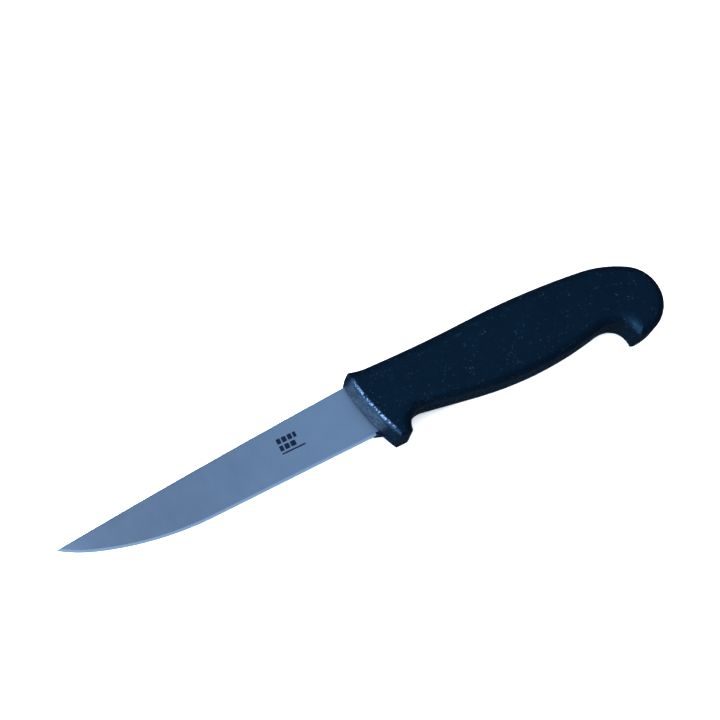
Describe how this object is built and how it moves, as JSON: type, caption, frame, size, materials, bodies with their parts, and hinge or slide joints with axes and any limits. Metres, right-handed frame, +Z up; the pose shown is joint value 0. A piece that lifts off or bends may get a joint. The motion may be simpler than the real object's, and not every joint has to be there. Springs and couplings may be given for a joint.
{
  "type": "boning knife",
  "caption": "Butcher's boning knife: narrow stiff ground blade with a hidden tang in a moulded plastic grip that has a finger guard and a hooked butt",
  "frame": {"origin": "under the middle of the knife, which lies on its side on the plane Z = 0", "axes": "+X runs from the tip to the butt, +Y from the cutting edge to the spine, +Z up across the thickness of the handle"},
  "size_m": [0.2588, 0.0378, 0.019],
  "materials": {
    "blade_steel": "satin ground stainless steel with a brighter bevel along the edge",
    "grip_plastic": "navy black polypropylene with a fine spark-eroded grain",
    "ink": "thin pad-printed dark ink"
  },
  "bodies": {
    "root": {"blade": "blade_steel", "handle": "grip_plastic", "printed_mark": "ink"}
  },
  "joints": []
}
